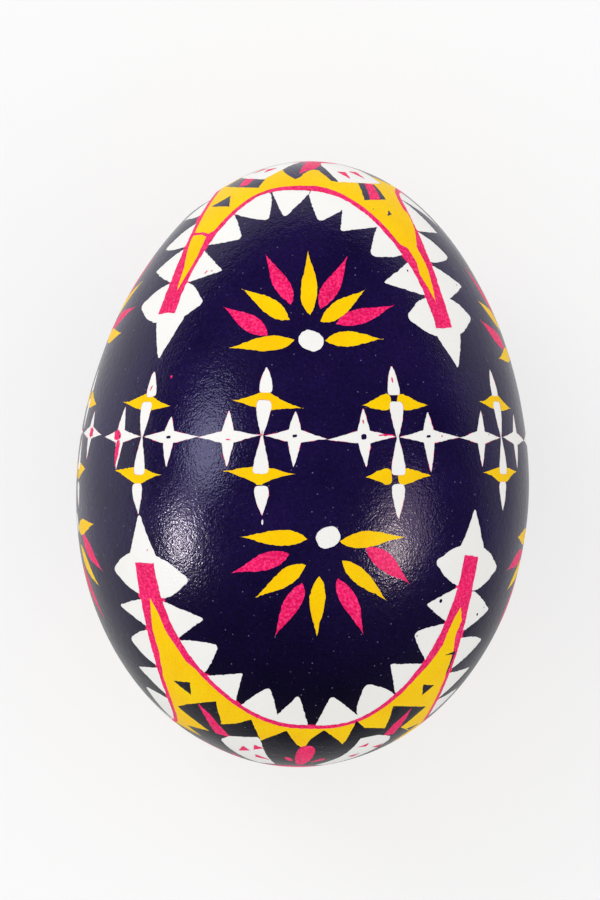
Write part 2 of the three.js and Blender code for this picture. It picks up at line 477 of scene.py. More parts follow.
class Half:
    """One end of the egg, with its feet, its arches and their teeth, and its flowers."""

    def __init__(self, name, side, feet, arches, teeth, beyond_east, beyond_west, flower, petals, strays):
        self.name = name
        self.side = side  # 1 towards the pointed end, -1 towards the blunt one
        self.feet = feet
        self.arches = arches  # (height of the top, squareness of its west and its east shoulder)
        self.flower = flower
        self.petals = petals
        self.strays = strays  # how far out of place some petals are, by their arch and their number
        self.teeth = [teeth]
        for index in (1, 2, 3):
            own = [self.moved_tooth(one, index) for one in teeth]
            if index == 1:
                own = beyond_east + own[len(beyond_east):]
            if index == 3:
                own = own[:-len(beyond_west)] + beyond_west
            self.teeth.append(own)

    def ends(self, index):
        """The two places where an arch meets its feet."""
        west = self.feet[index]["bar"][1]
        east = self.feet[(index + 1) % 4]["bar"][0]
        return west, (east[0] + (360 if east[0] < west[0] else 0), east[1])

    def arch(self, index):
        """The arch's inner edge, from one foot to the next."""
        west, east = self.ends(index)
        top, square_west, square_east = self.arches[index]
        centre = (west[0] + east[0]) / 2
        half = (east[0] - west[0]) / 2
        outline = []
        for angle in np.radians(np.linspace(180, 0, 60)):
            square = square_west if angle > np.pi / 2 else square_east
            foot = west[1] if angle > np.pi / 2 else east[1]
            across = np.sign(np.cos(angle)) * abs(np.cos(angle)) ** (2 / square)
            rise = max(0.0, np.sin(angle)) ** (2 / (1.5 + square / 4))
            outline.append((centre + half * across, foot + (top - foot) * rise))
        return np.array(outline)

    def moved(self, place, index, loose):
        """A place of the first arch in another one, drawn with a loose hand."""
        if index == 0:
            return place
        west, east = self.ends(index)
        first_west, first_east = self.ends(0)
        wider = (east[0] - west[0]) / (first_east[0] - first_west[0])
        longitude = west[0] + (place[0] - first_west[0]) * wider
        return eastward([(longitude, place[1])], 0, loose)[0]

    def moved_tooth(self, one, index):
        first, second, tip, roundness, bulge = one
        return (
            self.moved(first, index, 0.0),
            self.moved(second, index, 0.0),
            self.moved(tip, index, 0.25),
            max(0.04, roundness + jitter(0.06)),
            bulge,
        )

    def paint_flowers(self):
        for index in range(4):
            flower = f"{self.name}_{index + 1}"
            petals = [(turn, start, tip) for turn, (start, tip) in enumerate(self.petals)]
            for turn, start, tip in petals[1::2] + petals[0::2]:
                dye, width = ("pink", 1.58) if turn % 2 else ("yellow", 1.52)
                start = self.moved(start, index, 0.15)
                tip = self.moved(tip, index, 0.3)
                shift = self.strays.get((index, turn), (0.0, 0.0))
                start, tip = [(place[0] + shift[0], place[1] + shift[1]) for place in (start, tip)]
                outline = drop(start, tip, width + jitter(0.1), 0.95, 1.7, jitter(0.16), jitter(0.16))
                paint(f"{dye}_petals_{flower}", outline)
            width, height, lean = (2.35, 2.0, -12) if self.side > 0 else (2.3, 1.95, 32)
            paint(None, oval(self.moved(self.flower, index, 0.1), width, height, 2.25, lean + jitter(8)))

    def pink_edge(self):
        return even(np.concatenate([self.arch(index) for index in range(4)]))

    def yellow_edge(self):
        """The arches moved poleward by the pink line's width, with the yellow spikes down the feet."""
        parts = []
        for index, foot in enumerate(self.feet):
            spike = np.array(foot["yellow"])
            following = np.array(self.feet[(index + 1) % 4]["yellow"])
            arch = self.arch(index)
            steps = np.radians(np.diff(arch[:, 0])) * ring_radius(arch[1:, 1]) + 1j * np.diff(arch[:, 1])
            ways = np.append(steps, steps[-1])
            side = self.side * 1j * ways / np.abs(ways)
            thickest = (self.ends(index)[0][0] + self.ends(index)[1][0]) / 2 - 2
            thicker = PINK_THICKENING if self.side > 0 else 0.0
            line = PINK_LINE + thicker * np.exp(-(((arch[:, 0] - thickest) / 14) ** 2))
            arch[:, 0] += np.degrees(side.real * line / ring_radius(arch[:, 1]))
            arch[:, 1] += side.imag * line
            western = np.arange(len(arch)) < len(arch) / 2
            limit = np.where(western, self.side * spike[-1, 1], self.side * following[0, 1]) + 0.4
            parts += [spike, arch[self.side * arch[:, 1] > limit]]
        return even(np.concatenate(parts))

    def paint_arches(self):
        blunt = self.side < 0
        pink = "pink_arches_" + self.name
        seeped = self.pink_edge()
        creep = 0.12 + 0.3 * np.clip(tremor(len(seeped), 0.6), 0, 1)
        paint(pink, shifted(seeped, -self.side * creep), 0.0, blunt)
        for teeth in self.teeth:
            for one in teeth:
                paint(None, tooth(*one))
        for foot in self.feet:
            paint(None, tooth(*foot["spike"], 0.12, -0.03 if self.side < 0 else 0.02, 1.3))
        paint(pink, self.pink_edge(), 0.07, blunt)
        paint("yellow_arches_" + self.name, self.yellow_edge(), 0.06, blunt)
        for foot in self.feet:
            paint("dark_marks_" + self.name, foot["mark"])


pointed = Half(
    name="pointed",
    side=1,
    feet=[
        POINTED_WEST_FOOT,
        POINTED_EAST_FOOT,
        foot_like(POINTED_WEST_FOOT, 181.0),
        foot_like(POINTED_EAST_FOOT, 178.5),
    ],
    arches=[(26.95, 4.7, 2.25), (27.8, 4.6, 3.0), (27.0, 3.4, 3.0), (26.7, 4.4, 2.6)],
    teeth=POINTED_TEETH,
    beyond_east=POINTED_TEETH_BEYOND_EAST_FOOT,
    beyond_west=POINTED_TEETH_BEYOND_WEST_FOOT,
    flower=(0.6, 9.35),
    petals=POINTED_PETALS,
    strays={(3, 7): (-2.5, -1.25), (3, 8): (0.0, -0.3)},
)

blunt = Half(
    name="blunt",
    side=-1,
    feet=[
        BLUNT_WEST_FOOT,
        BLUNT_EAST_FOOT,
        foot_like(BLUNT_WEST_FOOT, 182.4),
        foot_like(BLUNT_EAST_FOOT, 177.6),
    ],
    arches=[(-29.7, 2.1, 3.5), (-29.3, 2.5, 3.0), (-29.5, 2.6, 3.0), (-30.3, 2.6, 3.5)],
    teeth=BLUNT_TEETH,
    beyond_east=BLUNT_TEETH_BEYOND_EAST_FOOT,
    beyond_west=BLUNT_TEETH_BEYOND_WEST_FOOT,
    flower=(6.9, -9.1),
    petals=BLUNT_PETALS,
    strays={(1, petal): (-4.0, 1.0) for petal in range(4)},
)


def paint_above_foot(half, foot):
    """A foot's pink heart, and beyond it a white fan with pink flecks."""
    pink = "pink_cap_" + half.name
    paint(pink, foot["heart"])
    paint(None, foot["fan"])
    for part, places in foot.items():
        if part.endswith("fleck"):
            paint(pink, places)


def paint_pointed_cap():
    """Round the pointed pole: a dark cap with white fans in it, and a pink middle with four lobes."""
    edge = []
    for index, foot in enumerate(pointed.feet):
        west, east = foot["fan"][0], foot["fan"][1]
        sector = [
            (-36.0, 31.3), (-15.1, 29.0), (-12.5, 29.4), (-8.0, 30.9), (-3.0, 31.4), (2.8, 31.3),
            (10.0, 29.4), (11.3, 28.9),
        ]
        edge += [west, east] + [pointed.moved(place, index, 0.15) for place in sector]
    paint("dark_cap_pointed", edge)
    for foot in pointed.feet:
        paint("dark_cap_pointed", foot["band"])
        paint_above_foot(pointed, foot)
    for index in range(4):
        lobe = [
            (-14.0, 30.2), (-8.0, 31.2), (-1.0, 31.7), (6.0, 33.2), (12.5, 34.8), (-21.6, 34.8),
            (-17.0, 32.5),
        ]
        paint("pink_cap_pointed", [pointed.moved(place, index, 0.1) for place in lobe])
    paint("pink_cap_pointed", circle_round_pole(34.5))


def paint_blunt_cap():
    """Round the blunt pole: a dark cap whose edge runs in points and bumps, with white fans in it."""
    edge = []
    for index, foot in enumerate(blunt.feet):
        band = foot["band"]
        sector = [
            (-26.5, -30.0), (-18.1, -29.2), (-17.4, -32.7), (-2.9, -30.7), (0.5, -32.2), (3.3, -33.2),
            (6.0, -33.6), (8.0, -33.4), (9.9, -32.0), (14.8, -30.4), (29.9, -32.8), (27.7, -28.8),
            (34.5, -29.8),
        ]
        if index in (0, 2):
            edge += [(band[0][0] - 9, -30.9), band[5], band[0], band[2], band[3], band[4]]
        else:
            edge += [band[3], band[0], band[1], band[2], (band[2][0] + 14, -30.4)]
        if index in (1, 3):
            sector = sector[:-2]
        edge += [blunt.moved(place, index, 0.12) for place in sector]
    paint("dark_cap_blunt", edge, covers_blunt_pole=True)
    for foot in blunt.feet:
        paint_above_foot(blunt, foot)
    for index in range(4):
        top = blunt.moved((9.5, -33.3), index, 0.1)
        paint("pink_cap_blunt", drop(top, (top[0] + 3.0, -39.0), 1.75, 0.3, 0.6))
        for east, near, far in ((-14.0, -36.3, -37.6), (21.0, -36.4, -37.8)):
            paint("pink_cap_blunt", drop((top[0] + east, near), (top[0] + east * 0.6, far), 0.6, 0.6, 0.8))
    paint("pink_cap_blunt", circle_round_pole(-39.8), covers_blunt_pole=True)


# A cross: its place, whether its yellow wings stand apart, and then places from its middle, in degrees east
# and millimetres: the tips of its wings (upper west and east, lower west and east), and the thick end and the
# tip of its upper and of its lower outer drop.
CROSSES = [
    (
        (-45.4, -0.5),
        False,
        [(-10.0, 3.2), (8.5, 3.0), (-9.9, -3.3), (8.0, -3.5)],
        [(1.0, 3.8), (0.1, 6.3), (-0.4, -4.4), (0.4, -7.3)],
    ),
    (
        (-10.7, 0.1),
        False,
        [(-9.0, 3.2), (10.2, 2.7), (-9.5, -3.5), (8.8, -3.5)],
        [(0.1, 4.0), (-0.3, 6.5), (0.5, -4.7), (1.0, -7.5)],
    ),
    (
        (23.9, 0.5),
        True,
        [(-9.8, 2.8), (9.3, 3.1), (-8.5, -3.9), (9.6, -3.5)],
        [(-0.6, 3.9), (-0.8, 6.7), (0.2, -4.4), (0.8, -7.7)],
    ),
    (
        (60.7, 1.0),
        False,
        [(-9.0, 3.2), (9.0, 2.7), (-9.7, -3.5), (8.5, -3.3)],
        [(-0.2, 3.8), (-0.3, 6.4), (-0.3, -4.3), (0.1, -7.1)],
    ),
]
HIDDEN_CROSSES = [(96.5, 0.8), (132.0, 0.5), (168.0, 0.2), (204.0, -0.1), (240.0, -0.3), (279.0, -0.3)]

# A star: its middle, its west, east, upper and lower tips, and the size of the dark mark in its middle.
STARS = [
    [(-54.0, -0.55), (-61.8, -0.7), (-45.6, -0.5), (-53.8, 2.3), (-54.4, -3.7), (0.22, 0.26)],
    [(-36.4, -0.45), (-45.1, -0.5), (-27.2, -0.3), (-36.3, 1.5), (-36.2, -3.3), (0.5, 0.27)],
    [(-19.5, -0.2), (-27.8, -0.35), (-11.0, 0.1), (-19.8, 2.3), (-19.2, -3.0), None],
    [(-2.5, 0.15), (-10.3, 0.05), (5.9, 0.0), (-2.6, 2.5), (-2.5, -2.8), (0.45, 0.26)],
    [(14.9, 0.35), (5.3, -0.1), (23.7, 0.5), (14.7, 3.0), (15.6, -2.5), (0.52, 0.5)],
    [(32.8, 0.65), (24.2, 0.45), (43.3, 0.7), (32.9, 3.0), (33.4, -2.7), (0.48, 0.24)],
    [(51.2, 0.8), (42.6, 0.65), (60.4, 0.85), (52.2, 3.4), (51.1, -2.0), None],
    [(70.0, 0.85), (61.3, 0.9), (79.5, 0.7), (71.0, 3.2), (69.8, -2.1), None],
    [(-71.6, -0.3), (-80.0, -0.4), (-63.4, -0.5), (-71.4, 1.8), (-72.0, -2.9), None],
]

FINE_HAND = 0.03  # how far an edge strays in the belt, which is drawn more finely
STAR_FRINGE = 0.055
CROSS_FRINGE = 0.035
DROPS_OVERLAP = 0.4  # how far a cross's two inner drops run past each other
ARM_OVERLAP = 0.02  # how far a star's arm starts beyond the middle, as a share of its length


def hidden_stars():
    """A star on each side of every hidden cross, as far from it as the others are."""
    stars = []
    places = HIDDEN_CROSSES
    for (longitude, height), (next_longitude, next_height) in zip(places[:-1], places[1:]):
        middle = (longitude + next_longitude) / 2
        quarter = (next_longitude - longitude) / 4
        level = (height + next_height) / 2
        for centre, west, east in (
            (middle - quarter, longitude, middle + 0.4),
            (middle + quarter, middle - 0.4, next_longitude),
        ):
            up, down = 2.2 + jitter(0.3), -3.0 + jitter(0.3)
            tips = [(west, level), (east, level), (centre + jitter(0.5), level + up), (centre, level + down)]
            stars.append([(centre, level), *tips, (0.45, 0.26) if random.uniform() < 0.5 else None])
    first = HIDDEN_CROSSES[0]
    middle = (first[0] - 8.7, first[1])
    stars.append([middle, (first[0] - 17.5, 0.7), first, (middle[0], 3.1), (middle[0], -2.1), None])
    return stars


def fringes_under(first):
    """Puts the fringes of the marks from this number on below all of those marks."""
    marks[first:] = sorted(marks[first:], key=lambda mark: mark[0] != FRINGES)


def paint_star(star):
    centre, west, east, upper, lower, mark = star
    first = len(marks)
    for tip, width, taper in ((west, 1.32, 1.2), (east, 1.32, 1.2), (upper, 1.28, 0.82), (lower, 1.28, 0.85)):
        back = [middle * (1 + ARM_OVERLAP) - end * ARM_OVERLAP for middle, end in zip(centre, tip)]
        paint(None, drop(back, tip, width, 0.05, taper), FINE_HAND, fringe=STAR_FRINGE)
    fringes_under(first)
    return centre, mark


def paint_cross(number, place, apart, wings, drops):
    dye = f"yellow_wings_{number}"
    for turn, (east, height) in enumerate(wings):
        side = -1 if turn % 2 == 0 else 1
        upper = turn < 2
        root_height = 3.4 if upper else -3.8
        root_east = -0.75 + side * 0.85 if apart else -side * 1.2
        root = (place[0] + root_east, place[1] + root_height)
        tip = (place[0] + east, place[1] + height)
        width, blunt_end, taper = (1.5, 0.28, 1.4) if apart else (1.75, 0.12, 1.5)
        bow = side * (-0.14 if upper else 0.1)
        paint(dye, drop(root, tip, width, blunt_end, taper, bow))
    thick_top, tip_top, thick_low, tip_low = [(place[0] + east, place[1] + height) for east, height in drops]
    inner_top, top_end = (place[0] - 0.1, place[1] + 3.3), (place[0], place[1] - DROPS_OVERLAP)
    inner_low, low_end = (place[0] + 0.2, place[1] - 3.6), (place[0], place[1] + DROPS_OVERLAP)
    for thick, thin, width, blunt_end, taper in (
        (inner_top, top_end, 1.4, 0.18, 1.0),
        (inner_low, low_end, 1.46, 0.16, 1.2),
        (thick_top, tip_top, 1.24, 0.14, 0.75),
        (thick_low, tip_low, 1.36, 0.22, 1.0),
    ):
        paint(None, drop(thick, thin, width, blunt_end, taper), FINE_HAND, fringe=CROSS_FRINGE)


def paint_belt():
    middles = [paint_star(star) for star in STARS + hidden_stars()]
    crosses = list(CROSSES)
    for place in HIDDEN_CROSSES:
        _, _, wings, drops = CROSSES[random.integers(len(CROSSES))]
        crosses.append((place, random.uniform() < 0.3, eastward(wings, 0, 0.1), eastward(drops, 0, 0.08)))
    for number, (place, apart, wings, drops) in enumerate(crosses, 1):
        paint_cross(number, place, apart, wings, drops)
    for centre, mark in middles:
        if mark:
            paint(GROUND, oval(centre, mark[0], mark[1], 4, 8), 0.02)


def paint_accidents():
    """Small slips of the hand: dye that got where wax should have been."""
    paint(FRINGES, oval((-55.3, -0.5), 1.0, 1.05, 2.2), 0.12)
    paint(FRINGES, drop((-54.6, -0.9), (-54.9, -3.5), 0.6, 0.3, 0.9), 0.05)
    paint(FRINGES, oval((-70.8, -0.3), 0.95, 1.0, 2.2), 0.12)
    paint(GROUND, oval((-54.2, -0.55), 0.24, 0.28), 0.02)
    for place, length, width, lean in (
        ((-19.3, -0.45), 0.5, 0.12, -6),
        ((20.7, 0.6), 1.5, 0.16, 3),
        ((14.7, 1.75), 0.12, 0.45, 5),
        ((23.0, 5.85), 0.15, 0.6, 8),
        ((-45.0, 4.1), 0.12, 0.7, -20),
        ((-10.7, 0.12), 0.2, 0.16, 0),
        ((-38.7, 5.3), 0.26, 0.3, 0),
        ((37.0, 0.75), 0.16, 0.16, 0),
        ((-37.6, 16.1), 0.14, 0.4, -25),
        ((-35.4, 16.25), 0.12, 0.2, 0),
        ((-42.4, -11.1), 0.14, 0.16, 0),
    ):
        paint(FRINGES, oval(place, length, width, 2.0, lean), 0.03)
    for place, length, width, lean in (
        ((41.3, -14.8), 0.36, 0.42, 20),
        ((58.7, -16.1), 0.24, 0.34, 40),
        ((61.2, -15.4), 0.12, 0.14, 0),
        ((35.0, 17.2), 0.16, 0.24, 0),
        ((57.6, 16.0), 0.12, 0.12, 0),
        ((30.3, 24.6), 0.3, 0.08, 10),
        ((36.5, -18.4), 0.12, 0.16, 0),
        ((-9.6, -8.35), 0.2, 0.1, 0),
    ):
        paint(GROUND, oval(place, length, width, 2.0, lean), 0.02)
    paint(None, oval((-9.6, -7.95), 0.2, 0.55, 2.0), 0.02)
    scratch = [
        (50.6, -20.4), (55.2, -19.9), (55.6, -20.2), (56.2, -21.0), (57.6, -22.4), (57.0, -22.5),
        (55.2, -20.9), (54.8, -20.3),
    ]
    paint("dark_marks_blunt", scratch, 0.02)
    seam = [(-55.4, 20.3), (-49.6, 20.45), (-43.4, 20.0), (-43.2, 20.4), (-49.4, 20.75), (-55.4, 20.65)]
    paint("pink_arches_pointed", seam, 0.02)


paint_belt()
pointed.paint_flowers()
blunt.paint_flowers()
pointed.paint_arches()
blunt.paint_arches()
paint_pointed_cap()
paint_blunt_cap()
paint_accidents()

# ---- cutting the surface along the outlines ------------------------------------------------------


def hole_edge(height_limit):
    """The circle that the dyes keep back to round a blow hole."""
    outline = circle_round_pole(height_limit)
    return chart(outline[:, 0], outline[:, 1])


def height_of_radius(radius, pointed_end):
    part = ANGLES < math.pi / 2 if pointed_end else ANGLES > math.pi / 2
    order = np.argsort(radii[part])
    return np.interp(radius, radii[part][order], HEIGHTS[part][order])


TOP_HEIGHT = float(height_of_radius(POINTED_HOLE + BARE_RIM, True))
FOOT_HEIGHT = float(height_of_radius(BLUNT_HOLE + BARE_RIM, False))
inner_edge = hole_edge(TOP_HEIGHT)
outer_edge = hole_edge(FOOT_HEIGHT)

INNER_STEP = 0.62  # the distance between the points that shape the surface away from the marks' edges
points = []
edges = []
for loop in [inner_edge, outer_edge] + [outline for _, outline, _ in marks]:
    start = len(points)
    points += [(z.real, z.imag) for z in loop]
    edges += [(start + i, start + (i + 1) % len(loop)) for i in range(len(loop))]

rows = int((TOP_HEIGHT - FOOT_HEIGHT) / INNER_STEP)
for row in range(1, rows):
    height = FOOT_HEIGHT + (TOP_HEIGHT - FOOT_HEIGHT) * row / rows
    count = max(8, int(2 * math.pi * ring_radius(height) / INNER_STEP))
    turns = (np.arange(count) + 0.5 * (row % 2) + random.uniform(-0.15, 0.15, count)) * 360 / count
    free = chart(turns, height + random.uniform(-0.1, 0.1, count))
    points += [(z.real, z.imag) for z in free]

WHOLE_HULL = 0  # asks for triangles all over the points' hull
MERGE_DISTANCE = 1e-9
cut = delaunay_2d_cdt([Vector(p) for p in points], edges, [], WHOLE_HULL, MERGE_DISTANCE, False)
cut_points, _, cut_faces, _, _, _ = cut
cut_points = np.array([complex(p[0], p[1]) for p in cut_points])
triangles = np.array([list(face) for face in cut_faces])
corners = cut_points[triangles]
area = np.imag(np.conj(corners[:, 1] - corners[:, 0]) * (corners[:, 2] - corners[:, 0]))
triangles[area < 0] = triangles[area < 0][:, ::-1]
middles = cut_points[triangles].mean(1)


CROSSINGS_AT_ONCE = 4_000_000  # bounds the memory that inside() takes


def inside(points, outline):
    """Whether each point lies inside a closed outline, by counting the crossings of a line to the east."""
    found = np.zeros(len(points), bool)
    near = (points.real >= outline.real.min()) & (points.real <= outline.real.max())
    near &= (points.imag >= outline.imag.min()) & (points.imag <= outline.imag.max())
    chosen = np.nonzero(near)[0]
    for part in np.array_split(chosen, max(1, len(chosen) * len(outline) // CROSSINGS_AT_ONCE + 1)):
        here = points[part][:, None]
        a = outline[None, :]
        b = np.roll(outline, -1)[None, :]
        spans = (a.imag > here.imag) != (b.imag > here.imag)
        rise = np.where(spans, b.imag - a.imag, 1.0)
        crossing = a.real + (here.imag - a.imag) * (b.real - a.real) / rise
        found[part] = (spans & (here.real < crossing)).sum(1) % 2 == 1
    return found


on_shell = inside(middles, outer_edge) & ~inside(middles, inner_edge)
triangles = triangles[on_shell]
middles = middles[on_shell]
piece_names = [GROUND, None]
owner = np.zeros(len(triangles), int)
for piece, outline, covers_blunt_pole in marks:
    if piece not in piece_names:
        piece_names.append(piece)
    owner[inside(middles, outline) != covers_blunt_pole] = piece_names.index(piece)

film_points, film_normals = surface(*from_chart(cut_points))

# ---- meshes --------------------------------------------------------------------------------------


def add_mesh(name, vertices, faces, normals, material):
    """A piece from points in millimetres, with the surface's own normals."""
    mesh = bpy.data.meshes.new(name)
    mesh.from_pydata((np.asarray(vertices) * MM).tolist(), [], [list(face) for face in faces])
    mesh.validate()
    mesh.shade_smooth()
    if normals is not None:
        mesh.normals_split_custom_set_from_vertices(normals.tolist())
    mesh.materials.append(material)
    piece = bpy.data.objects.new(name, mesh)
    bpy.context.scene.collection.objects.link(piece)
    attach(piece, BODY)
    return piece


def add_film(name, faces, material):
    """A thin closed film over some triangles of the surface, with a top, an underside and a wall round it."""
    used, numbered = np.unique(faces, return_inverse=True)
    numbered = numbered.reshape(-1, 3)
    count = len(used)
    top = film_points[used] + film_normals[used] * FILM
    bottom = film_points[used] - film_normals[used] * FILM
    sides = np.concatenate([numbered[:, [0, 1]], numbered[:, [1, 2]], numbered[:, [2, 0]]])
    ways = {(a, b) for a, b in sides.tolist()}
    walls = [(b, a, a + count, b + count) for a, b in ways if (b, a) not in ways]
    all_faces = numbered.tolist() + (numbered[:, ::-1] + count).tolist() + sorted(walls)
    normals = np.concatenate([film_normals[used], -film_normals[used]])
    return add_mesh(name, np.concatenate([top, bottom]), all_faces, normals, material)


SKIN_ROUND = 240  # the number of points round the shell and the membranes


def wander(longitude, size, seed):
    """A ragged wander round a hole's edge."""
    order = np.arange(2, 24)
    own = np.random.default_rng(seed)
    sizes = own.normal(size=len(order)) / order
    starts = own.uniform(0, 2 * np.pi, len(order))
    waves = np.sin(longitude[:, None] * order + starts) * sizes
    return size * waves.sum(1) / np.abs(sizes).sum() * 2


def skin_rows(depth, hole_pointed, hole_blunt, ragged, rows, seed):
    """Rows of points and normals at a depth, from the pointed hole's edge to the blunt one's."""
    longitude = np.linspace(0, 2 * np.pi, SKIN_ROUND, endpoint=False)
    first = height_of_radius(hole_pointed + wander(longitude, ragged, seed), True)
    last = height_of_radius(hole_blunt + wander(longitude, ragged, seed + 1), False)
    share = np.linspace(0, 1, rows)[:, None]
    angle = angle_at(first + (last - first) * share)
    return surface(np.broadcast_to(longitude, angle.shape), angle, np.full(angle.shape, depth))


def add_skin(name, outer, inner, material):
    """A closed wall between two sets of rows, joined at both ends."""
    points_out, normals_out = outer
    points_in, normals_in = inner
    loop = np.concatenate([points_out, points_in[::-1]])
    normals = np.concatenate([normals_out, -normals_in[::-1]])
    count, around, _ = loop.shape
    faces = []
    for row in range(count):
        below = (row + 1) % count
        for turn in range(around):
            beside = (turn + 1) % around
            faces.append((
                row * around + turn,
                below * around + turn,
                below * around + beside,
                row * around + beside,
            ))
    return add_mesh(name, loop.reshape(-1, 3), faces, normals.reshape(-1, 3), material)


# ---- materials -----------------------------------------------------------------------------------

GRAIN_PER_MM = 4.6
SWELL_PER_MM = 1.3
SWELL_SHARE = 0.9  # the swell's height, beside the grain's
GRAIN_DEPTH = 0.000028  # in metres
SHELL_IOR = 1.4


class Nodes:
    """A node tree, whose nodes are added with their inputs by name."""

    def __init__(self, owner):
        owner.use_nodes = True
        self.tree = owner.node_tree
        self.tree.nodes.clear()

    def add(self, kind, inputs=None, **settings):
        node = self.tree.nodes.new(kind)
        for key, value in settings.items():
            setattr(node, key, value)
        for key, value in (inputs or {}).items():
            if isinstance(value, bpy.types.NodeSocket):
                self.tree.links.new(value, node.inputs[key])
            else:
                node.inputs[key].default_value = value
        return node

    def glossy_ray(self):
        """1 for what is seen in a gloss, and 0 for what the camera sees and for soft light."""
        return self.add("ShaderNodeLightPath").outputs["Is Glossy Ray"]

    def ramp(self, value, *stops):
        """Numbers or colours at places from 0 to 1."""
        node = self.add("ShaderNodeValToRGB", {"Fac": value})
        elements = node.color_ramp.elements
        while len(elements) < len(stops):
            elements.new(0.5)
        for element, (place, colour) in zip(elements, stops):
            element.position = place
            element.color = (*colour, 1) if isinstance(colour, tuple) else (colour, colour, colour, 1)
        return node.outputs["Color"]

    def math(self, operation, first, second=0.0):
        return self.add("ShaderNodeMath", {0: first, 1: second}, operation=operation).outputs[0]

    def mix(self, share, first, second, blend="MIX"):
        node = self.add("ShaderNodeMix", data_type="RGBA", blend_type=blend)
        for index, value in ((0, share), (6, first), (7, second)):
            if isinstance(value, bpy.types.NodeSocket):
                self.tree.links.new(value, node.inputs[index])
            else:
                node.inputs[index].default_value = (*value, 1) if isinstance(value, tuple) else value
        return node.outputs[2]


class Material(Nodes):
    """A material of the egg, which is textured in the egg's own millimetres."""

    def __init__(self, name):
        self.material = bpy.data.materials.new(name)
        super().__init__(self.material)
        place = self.add("ShaderNodeTexCoord").outputs["Object"]
        per_metre = (1 / MM, 1 / MM, 1 / MM)
        scaled = self.add("ShaderNodeVectorMath", {0: place, 1: per_metre}, operation="MULTIPLY")
        self.place = scaled.outputs[0]

    def noise(self, per_mm, detail=2.0, roughness=0.5):
        inputs = {"Vector": self.place, "Scale": per_mm, "Detail": detail, "Roughness": roughness}
        return self.add("ShaderNodeTexNoise", inputs).outputs["Fac"]

    def specks(self, per_mm, size, share):
        """Small round specks, each in its own cell, in a share of the cells."""
        inputs = {"Vector": self.place, "Scale": per_mm, "Randomness": 1.0}
        cells = self.add("ShaderNodeTexVoronoi", inputs)
        near = self.ramp(cells.outputs["Distance"], (0.0, 1.0), (size, 0.0))
        chosen = self.add("ShaderNodeSeparateColor", {"Color": cells.outputs["Color"]}).outputs[0]
        return self.math("MULTIPLY", near, self.math("LESS_THAN", chosen, share))

    def speckled(self, colour, specks, strength, tint):
        """A colour with specks of a tint over it."""
        return self.mix(self.math("MULTIPLY", specks, strength), colour, tint)

    def uneven(self, low, high):
        """A roughness that wanders between two values."""
        return self.ramp(self.noise(2.2, 2.0), (0.3, low), (0.75, high))

    def finish(self, colour, roughness, grain_strength, gloss):
        """Joins the colour and the orange-peel grain of the surface to the shader."""
        swell = self.noise(SWELL_PER_MM, 1.0, 0.5)
        grain = self.noise(GRAIN_PER_MM, 1.0, 0.5)
        height = self.math("ADD", grain, self.math("MULTIPLY", swell, SWELL_SHARE))
        relief = {"Strength": grain_strength, "Distance": GRAIN_DEPTH, "Height": height}
        bump = self.add("ShaderNodeBump", relief)
        inputs = {
            "Base Color": colour,
            "Roughness": roughness,
            "Normal": bump.outputs["Normal"],
            "IOR": SHELL_IOR,
            "Specular IOR Level": gloss,
        }
        shader = self.add("ShaderNodeBsdfPrincipled", inputs)
        self.add("ShaderNodeOutputMaterial", {"Surface": shader.outputs[0]})
        return self.material


def dark_dye():
    m = Material("dark_violet_dye")
    cloud = m.ramp(m.noise(0.16, 3.0), (0.3, (0.0055, 0.0016, 0.036)), (0.7, (0.0105, 0.0034, 0.054)))
    # The dark colour is made darker towards the blunt end: full brightness from 6 mm below the egg's middle
    # upwards, falling to 0.22 of it at 24 mm below and beyond.
    along = m.add("ShaderNodeSeparateXYZ", {0: m.place}).outputs["Y"]
    depth = m.add("ShaderNodeMapRange", {"Value": along, "From Min": -24.0, "From Max": -6.0, "To Min": 0.22})
    fine = m.ramp(m.noise(4.0, 2.0), (0.35, 0.75), (0.7, 1.3))
    colour = m.mix(1.0, m.mix(1.0, cloud, fine, "MULTIPLY"), depth.outputs["Result"], "MULTIPLY")
    pale = m.specks(1.5, 0.12, 0.42)
    colour = m.speckled(colour, pale, 0.85, (0.3, 0.28, 0.46))
    dust = m.specks(2.9, 0.15, 0.3)
    colour = m.speckled(colour, dust, 0.45, (0.16, 0.14, 0.34))
    roughness = m.uneven(0.15, 0.22)
    return m.finish(colour, roughness, 1.0, 0.5)


def yellow_dye():
    m = Material("warm_yellow_dye")
    cloud = m.ramp(m.noise(0.3, 3.0), (0.3, (0.99, 0.57, 0.0)), (0.7, (1.0, 0.65, 0.0)))
    fine = m.ramp(m.noise(4.5, 2.0), (0.3, 0.94), (0.7, 1.03))
    colour = m.mix(1.0, cloud, fine, "MULTIPLY")
    dirt = m.specks(1.3, 0.1, 0.16)
    colour = m.speckled(colour, dirt, 0.55, (0.32, 0.13, 0.004))
    roughness = m.uneven(0.3, 0.4)
    return m.finish(colour, roughness, 0.7, 0.07)


def pink_dye():
    m = Material("mottled_pink_dye")
    deep, middle, light = (0.7, 0.001, 0.08), (0.97, 0.006, 0.15), (1.0, 0.065, 0.23)
    grains = m.ramp(m.noise(4.2, 3.0, 0.65), (0.36, deep), (0.5, middle), (0.66, light))
    wash = m.ramp(m.noise(0.5, 2.0), (0.3, 0.88), (0.7, 1.05))
    colour = m.mix(1.0, grains, wash, "MULTIPLY")
    roughness = m.uneven(0.3, 0.4)
    return m.finish(colour, roughness, 0.7, 0.15)


def bare_shell():
    m = Material("bare_shell")
    cloud = m.ramp(m.noise(0.2, 3.0), (0.3, (0.895, 0.88, 0.845)), (0.7, (0.915, 0.905, 0.88)))
    pores = m.specks(2.1, 0.09, 0.18)
    colour = m.speckled(cloud, pores, 0.18, (0.5, 0.42, 0.36))
    dirt = m.specks(0.42, 0.07, 0.4)
    colour = m.speckled(colour, dirt, 0.6, (0.22, 0.1, 0.13))
    roughness = m.uneven(0.34, 0.44)
    return m.finish(colour, roughness, 0.6, 0.3)


